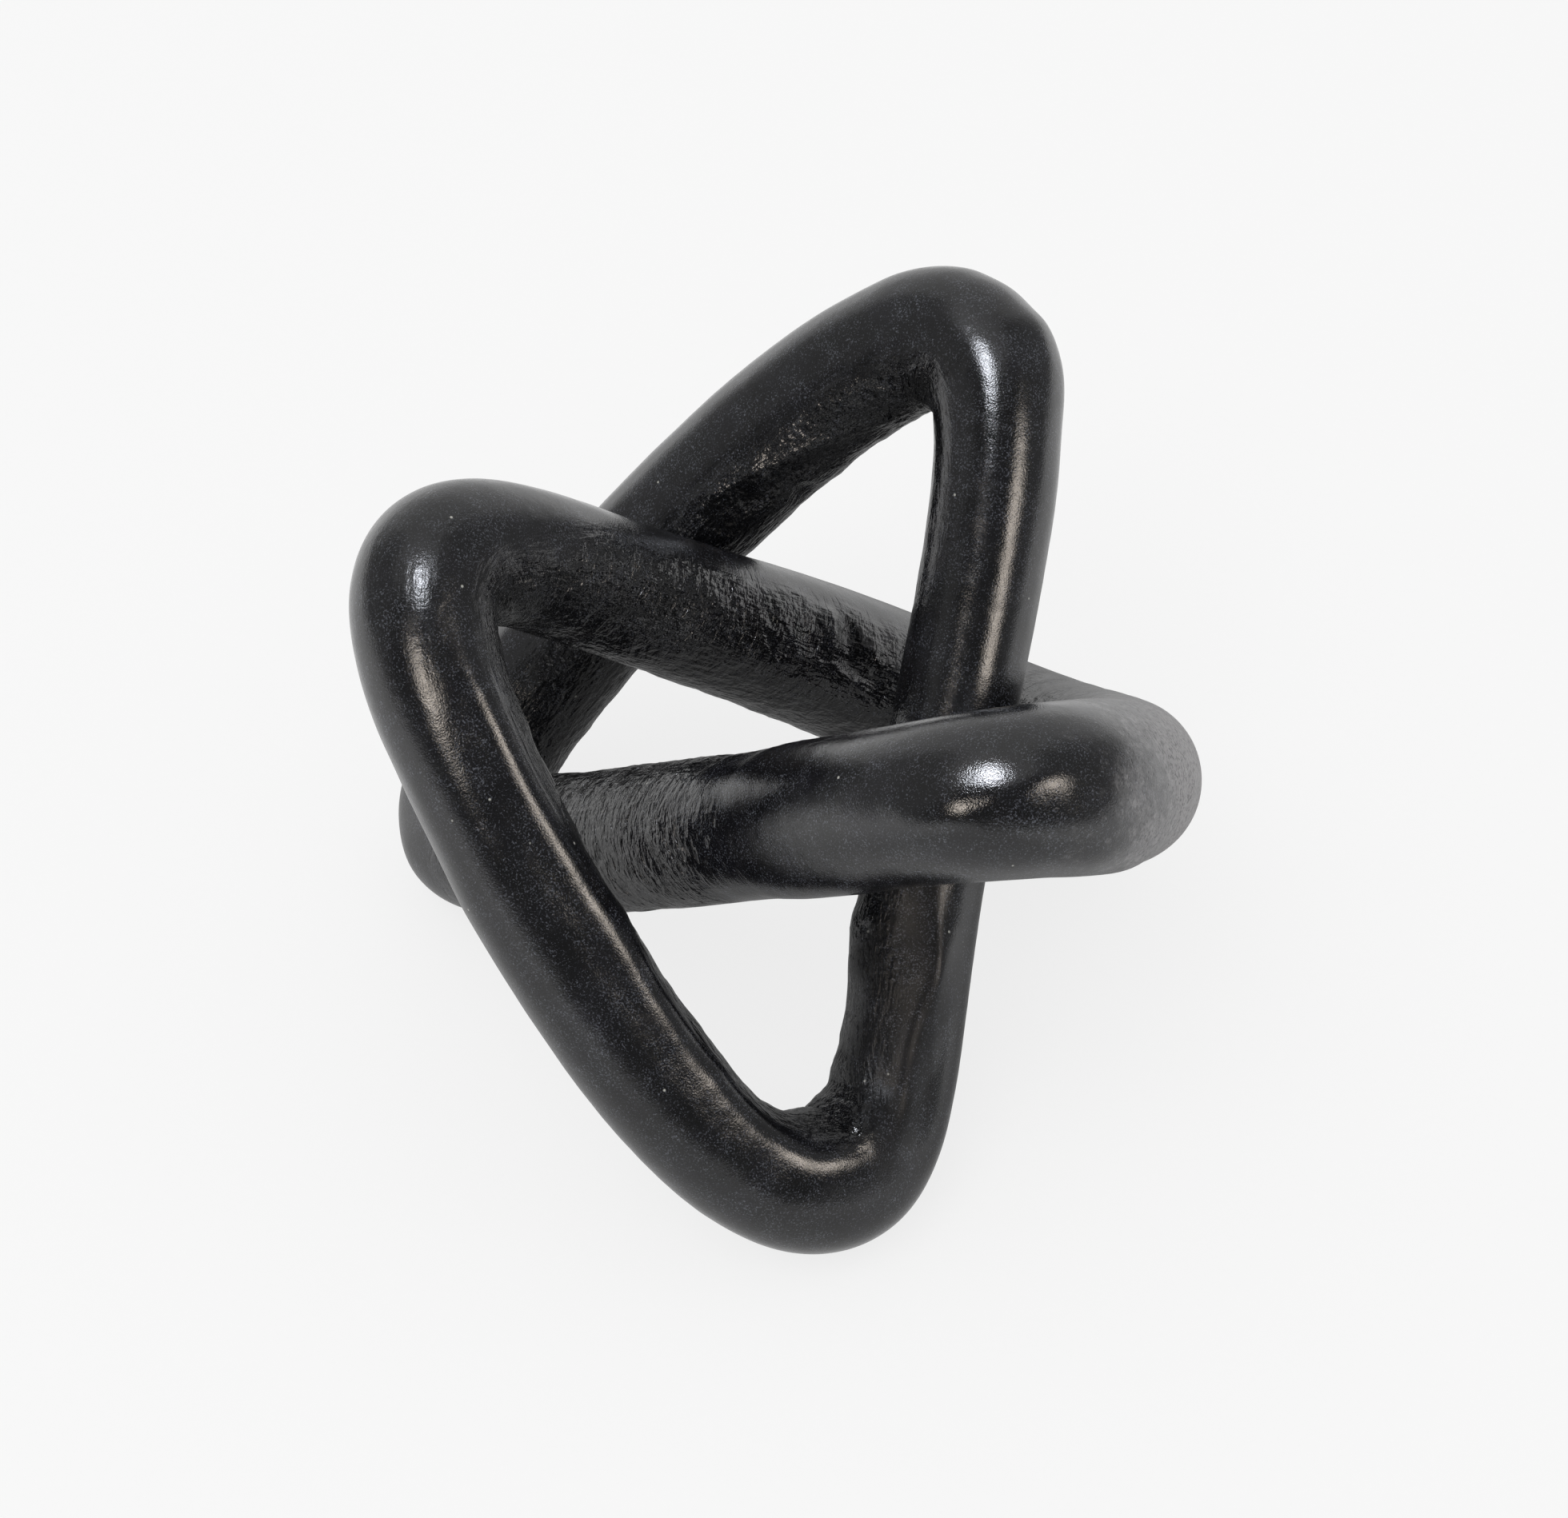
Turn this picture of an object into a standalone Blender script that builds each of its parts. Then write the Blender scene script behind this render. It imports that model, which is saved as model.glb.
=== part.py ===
"""A knot carved from one block of black marble, standing on three small felt pads.

The stone is one closed rope without an end. It runs through six corners, three at the top and
three at the foot, and passes over and under itself as a trefoil knot does. The corners stand in
an even ring, and each has the small shift, lead and thickness that the carver gave it.

Run it with: blender --background --python part.py
Lengths are in metres, +Z is up, and the photographed side faces -Y.
"""

import math
from typing import NamedTuple

import bmesh
import bpy
import numpy as np

MM = 0.001
TINY = 1e-9

# The even ring that the six corners stand in
REACH = 61.0 * MM  # from the upright axis to a corner's guide point
RISE = 94.0 * MM  # from the guide points at the foot to those at the top
FIRST_ANGLE = 181.0  # degrees round the axis of the first top corner, from +X
CORNER_STEP = -120.0  # degrees from one top corner to the next
FOOT_TURN = 107.0  # degrees from a top corner to the foot that the stone runs down to

# The inner side of each corner
WEB = 8.0 * MM  # how far the two limbs at a corner melt into one another

# The feet and their pads
GROUND_OFF = 1.0 * MM  # stone ground off the roundest foot to give it a flat
PAD_DIAMETER = 8.0 * MM
PAD_THICKNESS = 1.2 * MM
PAD_BEVEL = 0.2 * MM
SEAT_GAP = 0.3 * MM  # the layer of glue between a foot and its pad

# The mesh
SPANS_PER_LIMB = 3
RINGS_PER_SPAN = 9
SIDES = 24
CORE_PER_SPAN = 40  # balls per span that stand for the solid stone while its skin is found
PAD_SIDES = 32
MARCH_STEPS = 60
HINGE_SPARE = 8.0 * MM  # from a corner's inner crease to the line that its rings turn about
EASE = 4.0 * MM  # over this length the rings ease from the turn into the straight
SHARP_ANGLE = 40.0  # degrees between two faces, from which their edge is shaded sharp

MARBLE_COLOUR = (0.012, 0.012, 0.014, 1.0)
MARBLE_ROUGHNESS = 0.28
FELT_COLOUR = (0.02, 0.02, 0.02, 1.0)
FELT_ROUGHNESS = 0.95


class Corner(NamedTuple):
    """A corner of the rope. Lengths are in millimetres."""

    name: str
    shift: tuple  # from its place in the even ring: x, y, z
    lead_in: float  # from the last guide point of the limb before it
    lead_out: float  # to the first guide point of the limb after it
    thickness: float


class Limb(NamedTuple):
    """The stretch from one corner to the next. Lengths are in millimetres."""

    name: str
    start_bow: tuple  # of its first guide point: outwards, upwards
    end_bow: tuple  # of its last guide point: outwards, upwards
    start_thickness: float
    end_thickness: float


# In the order that the stone runs: a top corner, the foot below it, the next top corner
CORNERS = (
    Corner("top_left", (2.5, 3.0, 1.5), 48, 28, 22.8),
    Corner("foot_front", (-3.0, -1.5, -4.0), 27, 44, 20.4),
    Corner("top_back", (6.0, -0.5, -0.5), 41, 36, 21.4),
    Corner("foot_left", (-3.0, 3.5, -3.0), 29, 46, 24.2),
    Corner("top_right", (3.0, 0.5, 0.0), 40, 45, 25.2),
    Corner("foot_right", (-4.0, -1.0, -3.0), 38, 46, 26.6),
)

LIMBS = (
    Limb("left", (16.5, -1.5), (22.0, -3.5), 21.0, 20.2),
    Limb("middle", (-4.0, -2.0), (2.0, -2.5), 19.8, 19.6),
    Limb("back_left", (16.5, 1.0), (14.0, 0.0), 24.0, 23.6),
    Limb("front", (2.0, -1.0), (3.5, 1.5), 23.6, 22.6),
    Limb("right", (18.0, -2.5), (15.0, -3.5), 26.0, 25.6),
    Limb("back", (1.0, 1.5), (-0.5, 0.0), 25.8, 21.4),
)


def clear_scene():
    """Removes what the scene holds before the part is built."""
    for obj in list(bpy.data.objects):
        bpy.data.objects.remove(obj, do_unlink=True)


def unit(vectors):
    """The vectors at length one."""
    return vectors / np.linalg.norm(vectors, axis=-1, keepdims=True)


def corner_points():
    """The guide point of each corner, in the order of CORNERS."""
    points = []
    for index, corner in enumerate(CORNERS):
        pair, is_foot = divmod(index, 2)
        angle = math.radians(FIRST_ANGLE + CORNER_STEP * pair + FOOT_TURN * is_foot)
        even = (REACH * math.cos(angle), REACH * math.sin(angle), RISE * (1 - is_foot))
        points.append(np.array(even) + np.array(corner.shift) * MM)
    return points


def limb_points(start, end, middle, lead_out, lead_in, limb):
    """The two guide points of a limb between the corners at start and end."""
    along = unit(end - start)
    outwards = unit(np.array((along[1], -along[0], 0.0)))
    if outwards @ ((start + end) / 2 - middle) < 0:
        outwards = -outwards
    upwards = np.cross(along, outwards)
    if upwards[2] < 0:
        upwards = -upwards
    first = start + (along * lead_out + outwards * limb.start_bow[0] + upwards * limb.start_bow[1]) * MM
    last = end + (outwards * limb.end_bow[0] + upwards * limb.end_bow[1] - along * lead_in) * MM
    return first, last


def guide():
    """The rope's guide points and its radius at each of them, once round."""
    corners = corner_points()
    middle = sum(corners) / len(corners)
    points, radii = [], []
    for index, (corner, limb) in enumerate(zip(CORNERS, LIMBS)):
        following = (index + 1) % len(CORNERS)
        first, last = limb_points(
            corners[index], corners[following], middle, corner.lead_out, CORNERS[following].lead_in, limb
        )
        points += [corners[index], first, last]
        radii += [size * MM / 2 for size in (corner.thickness, limb.start_thickness, limb.end_thickness)]
    return np.array(points), np.array(radii)


def along_spline(values, steps):
    """Reads a closed, even cubic B-spline at this many places in each span."""
    part = (np.arange(steps) / steps)[:, None]
    weights = np.hstack(
        ((1 - part) ** 3, 3 * part**3 - 6 * part**2 + 4, 1 + 3 * part + 3 * part**2 - 3 * part**3, part**3)
    ) / 6
    around = np.stack([np.roll(values, 1 - shift, axis=0) for shift in range(4)])
    return np.einsum("pk,ki...->ip...", weights, around).reshape(-1, *values.shape[1:])


class Core:
    """The balls along the rope's middle that stand for the solid stone."""

    def __init__(self, points, radii):
        self.centres = along_spline(points, CORE_PER_SPAN)
        self.radii = along_spline(radii, CORE_PER_SPAN)
        self.per_limb = SPANS_PER_LIMB * CORE_PER_SPAN
        self.corners = np.arange(len(CORNERS)) * self.per_limb

    def nearest(self, places, chosen):
        """For each place, its depth outside the chosen balls and the direction from the nearest one."""
        offsets = places[:, :, None] - self.centres[chosen][:, None]
        depths = np.linalg.norm(offsets, axis=3) - self.radii[chosen][:, None]
        best = depths.argmin(axis=2)[..., None]
        towards = np.take_along_axis(offsets, best[..., None], axis=2)[:, :, 0]
        return np.take_along_axis(depths, best, axis=2)[..., 0], unit(towards)

    def outside(self, places, before, after):
        """How far each place lies outside the stone, with the two limbs at a corner melted together."""
        depth_a, towards_a = self.nearest(places, before)
        depth_b, towards_b = self.nearest(places, after)
        web = WEB * (1 - (towards_a * towards_b).sum(axis=2)) / 2 + TINY
        overlap = np.maximum(web - abs(depth_a - depth_b), 0) / web
        return np.minimum(depth_a, depth_b) - overlap**2 * web / 4

    def march(self, middles, directions, corners):
        """The way from each middle to the skin along its directions. Each middle names its corner's ball."""
        window = np.arange(self.per_limb // 2 + CORE_PER_SPAN)
        before = (corners[:, None] - window) % len(self.centres)
        after = (corners[:, None] + window) % len(self.centres)
        reach = np.full(directions.shape[:2], self.radii.min() / 2)
        for _ in range(MARCH_STEPS):
            reach -= self.outside(middles[:, None] + directions * reach[..., None], before, after)
        return reach

    def hinges(self):
        """The line behind each corner's inner crease: a point on it and its direction."""
        corners = self.centres[self.corners]
        back = unit(self.centres[self.corners - CORE_PER_SPAN] - corners)
        forth = unit(self.centres[self.corners + CORE_PER_SPAN] - corners)
        inwards = unit(back + forth)
        crease = self.march(corners, inwards[:, None], self.corners)
        return corners + inwards * (crease + HINGE_SPARE), unit(np.cross(forth, back))


def rings(points, core):
    """The middle of each ring of the skin and two directions that span it: outwards and across."""
    middles = along_spline(points, RINGS_PER_SPAN)
    steps = (np.roll(middles, -1, axis=0) - np.roll(middles, 1, axis=0)) / 2
    headings = unit(steps)
    half = SPANS_PER_LIMB * RINGS_PER_SPAN // 2
    for index, (hinge, line) in enumerate(zip(*core.hinges())):
        near = np.arange(-half, half + 1) + index * SPANS_PER_LIMB * RINGS_PER_SPAN
        apart = np.linalg.norm(middles[near % len(middles)] - hinge, axis=1)
        first = apart[:half].argmin()
        last = half + apart[half:].argmin()
        turning = near[first : last + 1] % len(middles)
        headings[turning] = unit(np.cross(line, middles[turning] - hinge))
    headings = eased(headings, np.linalg.norm(steps, axis=1))
    outwards = middles - points.mean(axis=0)
    outwards = unit(outwards - headings * (outwards * headings).sum(axis=1, keepdims=True))
    return middles, outwards, np.cross(headings, outwards)


def eased(headings, lengths):
    """The headings averaged with their neighbours along the rope."""
    places = np.cumsum(lengths)
    around = places[-1]
    apart = (places[:, None] - places[None] + around / 2) % around - around / 2
    return unit(np.exp(-0.5 * (apart / EASE) ** 2) * lengths @ headings)


def skin(points, core):
    """The points of the stone's skin, ring by ring, found by marching out from the rope's middle."""
    middles, outwards, across = rings(points, core)
    angles = np.arange(SIDES)[None, :, None] / SIDES * math.tau
    directions = np.cos(angles) * outwards[:, None] + np.sin(angles) * across[:, None]
    own = np.arange(len(middles)) * len(core.centres) // len(middles)
    corners = (own + core.per_limb // 2) // core.per_limb * core.per_limb
    return middles[:, None] + directions * core.march(middles, directions, corners)[..., None]


def finished(name, mesh):
    """Turns a bmesh into a named object in the scene, with round sides shaded smooth."""
    data = bpy.data.meshes.new(name)
    mesh.to_mesh(data)
    mesh.free()
    data.shade_smooth()
    data.set_sharp_from_angle(angle=math.radians(SHARP_ANGLE))
    obj = bpy.data.objects.new(name, data)
    bpy.context.collection.objects.link(obj)
    return obj


def grind_feet(mesh):
    """Cuts the mesh off flat at height zero, and closes each cut."""
    parts = list(mesh.verts) + list(mesh.edges) + list(mesh.faces)
    bmesh.ops.bisect_plane(mesh, geom=parts, plane_co=(0, 0, 0), plane_no=(0, 0, -1), clear_outer=True)
    open_edges = [edge for edge in mesh.edges if edge.is_boundary]
    bmesh.ops.holes_fill(mesh, edges=open_edges)


def stone_mesh(name, skin_points):
    """A closed mesh through the rings of the skin."""
    mesh = bmesh.new()
    rows = [[mesh.verts.new(point) for point in ring] for ring in skin_points]
    for row, following in zip(rows, rows[1:] + rows[:1]):
        for side in range(SIDES):
            beside = (side + 1) % SIDES
            mesh.faces.new((row[side], row[beside], following[beside], following[side]))
    bmesh.ops.recalc_face_normals(mesh, faces=mesh.faces)
    grind_feet(mesh)
    return finished(name, mesh)


def material(name, colour, roughness):
    """A plain Principled material."""
    made = bpy.data.materials.new(name)
    made.use_nodes = True
    shader = made.node_tree.nodes["Principled BSDF"]
    shader.inputs["Base Color"].default_value = colour
    shader.inputs["Roughness"].default_value = roughness
    shader.inputs["Metallic"].default_value = 0.0
    made.diffuse_color = colour
    return made


def place_in_frame(core, skin_points):
    """The shift that centres the stone over the origin, with its ground feet at height zero."""
    undersides = core.centres[:, 2] - core.radii
    feet = []
    for corner, ball in zip(CORNERS, core.corners):
        if corner.name.startswith("foot"):
            near = (ball + np.arange(-core.per_limb // 2, core.per_limb // 2)) % len(undersides)
            feet.append(near[undersides[near].argmin()])
    low, high = skin_points.min(axis=(0, 1)), skin_points.max(axis=(0, 1))
    ground = undersides[feet].max() + GROUND_OFF
    shift = -np.array(((low[0] + high[0]) / 2, (low[1] + high[1]) / 2, ground))
    return shift, core.centres[feet] + shift


def build_stone():
    """Makes the marble knot, and gives back where the middle of each foot lies."""
    points, radii = guide()
    core = Core(points, radii)
    skin_points = skin(points, core)
    shift, feet = place_in_frame(core, skin_points)
    stone = stone_mesh("marble_knot", skin_points + shift)
    stone.location = (0, 0, PAD_THICKNESS + SEAT_GAP)
    stone.data.materials.append(material("black_marble", MARBLE_COLOUR, MARBLE_ROUGHNESS))
    return feet


def build_pads(feet):
    """Makes a felt pad under each foot. All three share one mesh."""
    mesh = bmesh.new()
    bmesh.ops.create_cone(
        mesh,
        cap_ends=True,
        segments=PAD_SIDES,
        radius1=PAD_DIAMETER / 2,
        radius2=PAD_DIAMETER / 2,
        depth=PAD_THICKNESS,
    )
    bmesh.ops.translate(mesh, verts=mesh.verts, vec=(0, 0, PAD_THICKNESS / 2))
    rims = [edge for edge in mesh.edges if abs(edge.verts[0].co.z - edge.verts[1].co.z) < PAD_BEVEL]
    bmesh.ops.bevel(mesh, geom=rims, offset=PAD_BEVEL, segments=1, affect="EDGES")
    names = [corner.name for corner in CORNERS if corner.name.startswith("foot")]
    first = finished("pad_" + names[0], mesh)
    first.data.materials.append(material("black_felt", FELT_COLOUR, FELT_ROUGHNESS))
    for name, foot in zip(names, feet):
        pad = first
        if name != names[0]:
            pad = bpy.data.objects.new("pad_" + name, first.data)
            bpy.context.collection.objects.link(pad)
        pad.location = (foot[0], foot[1], 0)


def main():
    """Builds the whole part."""
    clear_scene()
    build_pads(build_stone())


main()
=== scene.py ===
"""The looks of a carved marble knot: its stone with the carver's marks, its felt pads and a plain studio.

The stone is a round rope without an end, tied as a trefoil knot, with six corners. Its outer sides are
honed and waxed. Its inner sides keep the marks of the rasp and the point chisel.
"""

from __future__ import annotations

import logging
import math
from dataclasses import dataclass, field
from enum import Enum
from typing import Any, NamedTuple

import bpy
import numpy as np
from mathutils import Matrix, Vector

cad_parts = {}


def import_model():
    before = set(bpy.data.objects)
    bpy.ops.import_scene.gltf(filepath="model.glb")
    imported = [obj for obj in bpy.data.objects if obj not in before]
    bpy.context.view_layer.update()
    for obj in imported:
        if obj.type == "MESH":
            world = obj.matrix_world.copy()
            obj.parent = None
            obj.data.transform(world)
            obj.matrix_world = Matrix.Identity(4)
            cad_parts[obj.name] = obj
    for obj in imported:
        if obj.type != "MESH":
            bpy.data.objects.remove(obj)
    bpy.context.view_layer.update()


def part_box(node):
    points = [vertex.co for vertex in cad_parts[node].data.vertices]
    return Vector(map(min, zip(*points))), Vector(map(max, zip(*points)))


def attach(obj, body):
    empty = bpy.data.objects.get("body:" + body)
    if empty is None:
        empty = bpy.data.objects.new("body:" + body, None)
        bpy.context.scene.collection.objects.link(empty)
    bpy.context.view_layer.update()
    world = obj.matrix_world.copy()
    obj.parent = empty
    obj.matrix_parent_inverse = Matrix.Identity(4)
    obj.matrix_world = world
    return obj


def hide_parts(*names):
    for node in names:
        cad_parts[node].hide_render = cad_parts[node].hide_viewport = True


MM = 0.001
TINY = 1e-9
ROOT = "root"

log = logging.getLogger("marble_knot")


# Shared helpers


def linear(hex_colour: str) -> tuple[float, float, float, float]:
    """Turns an sRGB colour into linear light by the sRGB curve.

    Args:
        hex_colour: the colour, such as #1a1a1c.

    Returns:
        Linear red, green, blue and an alpha of 1.
    """
    parts = [int(hex_colour[i : i + 2], 16) / 255 for i in (1, 3, 5)]
    red, green, blue = ((c / 12.92 if c <= 0.04045 else ((c + 0.055) / 1.055) ** 2.4) for c in parts)
    return (red, green, blue, 1.0)


def add_node(
    tree: bpy.types.NodeTree, kind: str, links: dict[Any, Any] | None = None, **settings: Any
) -> bpy.types.Node:
    """Adds a node to a tree.

    Args:
        tree: the node tree.
        kind: the node's type name.
        links: for each input, by name or number, a value, or what feeds it: an output socket, or a node
            for the first of its outputs in use.
        settings: the node's own properties.

    Returns:
        The new node.
    """
    node = tree.nodes.new(kind)
    for name, value in settings.items():
        setattr(node, name, value)
    for socket, value in (links or {}).items():
        if isinstance(value, bpy.types.Node):
            value = next(output for output in value.outputs if output.enabled)
        if isinstance(value, bpy.types.NodeSocket):
            tree.links.new(value, node.inputs[socket])
        else:
            node.inputs[socket].default_value = value
    return node


def feed(tree: bpy.types.NodeTree, shader: bpy.types.Node, links: dict[str, bpy.types.NodeSocket]) -> None:
    """Feeds the inputs of a node that is already in a tree.

    Args:
        tree: the node tree.
        shader: the node.
        links: the output socket that feeds each input, by the input's name.
    """
    for name, output in links.items():
        tree.links.new(output, shader.inputs[name])


def unit(vectors: np.ndarray) -> np.ndarray:
    """The vectors at length one."""
    return vectors / np.linalg.norm(vectors, axis=-1, keepdims=True)


def smoothstep(low: float, high: float, values: np.ndarray) -> np.ndarray:
    """Rises softly from 0 at low to 1 at high."""
    share = np.clip((values - low) / (high - low), 0, 1)
    return share * share * (3 - 2 * share)


def wrapped(values: np.ndarray, around: float) -> np.ndarray:
    """Brings values on a closed path to between minus half and plus half of its length."""
    return (values + around / 2) % around - around / 2


def add_object(name: str, mesh: bpy.types.Mesh) -> bpy.types.Object:
    """Puts a mesh into the scene.

    Args:
        name: the name of the new object.
        mesh: its mesh.

    Returns:
        The new object.
    """
    made = bpy.data.objects.new(name, mesh)
    bpy.context.scene.collection.objects.link(made)
    return made


def store(mesh: bpy.types.Mesh, name: str, values: np.ndarray) -> None:
    """Keeps a number, or a vector of three, for each point of a mesh.

    Args:
        mesh: the mesh that gets the attribute.
        name: the attribute's name.
        values: an array of one number or three for each point.
    """
    kind, part = ("FLOAT_VECTOR", "vector") if values.ndim == 2 else ("FLOAT", "value")
    layer = mesh.attributes.new(name, kind, "POINT")
    layer.data.foreach_set(part, np.ascontiguousarray(values, np.float32).ravel())


def bake_modifiers(obj: bpy.types.Object) -> bpy.types.Object:
    """Puts the result of an object's modifiers into a plain mesh.

    Args:
        obj: an object with its modifiers set.

    Returns:
        A new object of the same name without modifiers. The old one is removed.
    """
    graph = bpy.context.evaluated_depsgraph_get()
    graph.update()
    mesh = bpy.data.meshes.new_from_object(obj.evaluated_get(graph))
    name = obj.name
    bpy.data.objects.remove(obj)
    mesh.name = name
    return add_object(name, mesh)


# The path of the rope: the same values as in the part's source. The rows for the corners and limbs
# and the even ring's sizes weren't chosen by hand. A fitting program found them from the outline, the
# inner lines and the lights in the photograph, and they were then rounded.


class Corner(NamedTuple):
    """A corner of the knot: how far it stands off an even knot, its leads and its thickness, in mm."""

    name: str
    shift: tuple[float, float, float]
    lead_in: float
    lead_out: float
    thickness: float


class Limb(NamedTuple):
    """A limb between two corners: how far it bows out and up near each end, and its thickness, in mm."""

    name: str
    start_bow: tuple[float, float]
    end_bow: tuple[float, float]
    start_thickness: float
    end_thickness: float


CORNERS = (
    Corner("top_left", (2.5, 3.0, 1.5), 48, 28, 22.8),
    Corner("foot_front", (-3.0, -1.5, -4.0), 27, 44, 20.4),
    Corner("top_back", (6.0, -0.5, -0.5), 41, 36, 21.4),
    Corner("foot_left", (-3.0, 3.5, -3.0), 29, 46, 24.2),
    Corner("top_right", (3.0, 0.5, 0.0), 40, 45, 25.2),
    Corner("foot_right", (-4.0, -1.0, -3.0), 38, 46, 26.6),
)

LIMBS = (
    Limb("left", (16.5, -1.5), (22.0, -3.5), 21.0, 20.2),
    Limb("middle", (-4.0, -2.0), (2.0, -2.5), 19.8, 19.6),
    Limb("back_left", (16.5, 1.0), (14.0, 0.0), 24.0, 23.6),
    Limb("front", (2.0, -1.0), (3.5, 1.5), 23.6, 22.6),
    Limb("right", (18.0, -2.5), (15.0, -3.5), 26.0, 25.6),
    Limb("back", (1.0, 1.5), (-0.5, 0.0), 25.8, 21.4),
)

SPANS_PER_LIMB = 3
SPANS = SPANS_PER_LIMB * len(LIMBS)


@dataclass(frozen=True)
class RopePath:
    """The guide points of the rope's middle, for a knot with three even corners above and three below."""

    reach: float = 61.0 * MM
    rise: float = 94.0 * MM
    first_angle: float = 181.0
    corner_step: float = -120.0
    foot_turn: float = 107.0

    def corner_points(self) -> list[np.ndarray]:
        """Places the corners.

        Returns:
            The guide point of each corner, in the order of CORNERS.
        """
        points = []
        for index, corner in enumerate(CORNERS):
            pair, is_foot = divmod(index, 2)
            angle = math.radians(self.first_angle + self.corner_step * pair + self.foot_turn * is_foot)
            even = (self.reach * math.cos(angle), self.reach * math.sin(angle), self.rise * (1 - is_foot))
            points.append(np.array(even) + np.array(corner.shift) * MM)
        return points

    @staticmethod
    def limb_points(start: np.ndarray, end: np.ndarray, middle: np.ndarray, index: int) -> list[np.ndarray]:
        """Places the two guide points of a limb.

        Args:
            start: the guide point of the corner that the limb leaves.
            end: the guide point of the corner that it runs to.
            middle: the middle of the whole knot.
            index: which limb it is.

        Returns:
            The first and the last guide point between the corners.
        """
        limb = LIMBS[index]
        lead_out = CORNERS[index].lead_out
        lead_in = CORNERS[(index + 1) % len(CORNERS)].lead_in
        along = unit(end - start)
        outwards = unit(np.array((along[1], -along[0], 0.0)))
        if outwards @ ((start + end) / 2 - middle) < 0:
            outwards = -outwards
        upwards = np.cross(along, outwards)
        if upwards[2] < 0:
            upwards = -upwards
        first = start + (along * lead_out + outwards * limb.start_bow[0] + upwards * limb.start_bow[1]) * MM
        last = end + (outwards * limb.end_bow[0] + upwards * limb.end_bow[1] - along * lead_in) * MM
        return [first, last]

    def guide(self) -> tuple[np.ndarray, np.ndarray]:
        """Strings the guide points together.

        Returns:
            The rope's guide points and its radius at each of them, once round.
        """
        corners = self.corner_points()
        middle = sum(corners) / len(corners)
        points, radii = [], []
        for index, (corner, limb) in enumerate(zip(CORNERS, LIMBS)):
            following = (index + 1) % len(CORNERS)
            points += [corners[index], *self.limb_points(corners[index], corners[following], middle, index)]
            radii += [size * MM / 2 for size in (corner.thickness, limb.start_thickness, limb.end_thickness)]
        return np.array(points), np.array(radii)


def along_spline(values: np.ndarray, steps: int) -> np.ndarray:
    """Reads a closed, even cubic B-spline.

    Args:
        values: the guide values, one row each.
        steps: how many places to read in each span.

    Returns:
        The values at all the places, once round.
    """
    part = (np.arange(steps) / steps)[:, None]
    weights = np.hstack(
        ((1 - part) ** 3, 3 * part**3 - 6 * part**2 + 4, 1 + 3 * part + 3 * part**2 - 3 * part**3, part**3)
    ) / 6
    around = np.stack([np.roll(values, 1 - shift, axis=0) for shift in range(4)])
    return np.einsum("pk,ki...->ip...", weights, around).reshape(-1, *values.shape[1:])


@dataclass
class SolidCore:
    """The balls along the rope's middle that stand for the solid stone."""

    points: np.ndarray
    guide_radii: np.ndarray
    per_span: int = 40
    web: float = 8.0 * MM
    hinge_spare: float = 8.0 * MM
    march_steps: int = 26

    def __post_init__(self) -> None:
        """Strings the balls along the spline."""
        self.centres = along_spline(self.points, self.per_span)
        self.radii = along_spline(self.guide_radii, self.per_span)
        self.per_limb = SPANS_PER_LIMB * self.per_span
        self.corners = np.arange(len(CORNERS)) * self.per_limb

    def nearest(self, places: np.ndarray, chosen: np.ndarray) -> tuple[np.ndarray, np.ndarray]:
        """Finds the ball nearest to each place.

        Args:
            places: bundles of places.
            chosen: the balls to look at, for each bundle.

        Returns:
            How far each place lies outside that ball, and its direction from the ball's middle.
        """
        offsets = places[:, :, None] - self.centres[chosen][:, None]
        depths = np.sqrt(np.einsum("abcd,abcd->abc", offsets, offsets)) - self.radii[chosen][:, None]
        best = depths.argmin(axis=2)[..., None]
        towards = np.take_along_axis(offsets, best[..., None], axis=2)[:, :, 0]
        return np.take_along_axis(depths, best, axis=2)[..., 0], unit(towards)

    def outside(self, places: np.ndarray, before: np.ndarray, after: np.ndarray) -> np.ndarray:
        """Measures from the stone, with the two limbs at a corner melted together by its web.

        Args:
            places: bundles of places.
            before: the balls of the limb before the corner, for each bundle.
            after: the balls of the limb after it.

        Returns:
            How far each place lies outside the stone.
        """
        depth_a, towards_a = self.nearest(places, before)
        depth_b, towards_b = self.nearest(places, after)
        web = self.web * (1 - (towards_a * towards_b).sum(axis=2)) / 2 + TINY
        overlap = np.maximum(web - abs(depth_a - depth_b), 0) / web
        return np.minimum(depth_a, depth_b) - overlap**2 * web / 4

    def march(self, middles: np.ndarray, directions: np.ndarray, corners: np.ndarray) -> np.ndarray:
        """Finds the skin along rays.

        Args:
            middles: where each bundle of rays starts.
            directions: the rays of each bundle.
            corners: the ball of the corner that each bundle belongs to.

        Returns:
            The length of each ray up to the skin.
        """
        window = np.arange(self.per_limb // 2 + self.per_span)
        before = (corners[:, None] - window) % len(self.centres)
        after = (corners[:, None] + window) % len(self.centres)
        reach = np.full(directions.shape[:2], self.radii.min() / 2)
        for _ in range(self.march_steps):
            reach -= self.outside(middles[:, None] + directions * reach[..., None], before, after)
        return reach

    def hinges(self) -> tuple[np.ndarray, np.ndarray]:
        """Finds the line behind each corner's inner crease, round which its rings turn.

        Returns:
            A point on each line, and the line's direction.
        """
        corners = self.centres[self.corners]
        back = unit(self.centres[self.corners - self.per_span] - corners)
        forth = unit(self.centres[self.corners + self.per_span] - corners)
        inwards = unit(back + forth)
        crease = self.march(corners, inwards[:, None], self.corners)
        return corners + inwards * (crease + self.hinge_spare), unit(np.cross(forth, back))


# The carver's larger marks, which the honing left. A fitting program placed twelve of them by where
# the lights show in the photograph: the first nine, down to middle_low_flat, and right_top_swell,
# right_front_swell and right_front_dip. The others were placed one by one.


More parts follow.
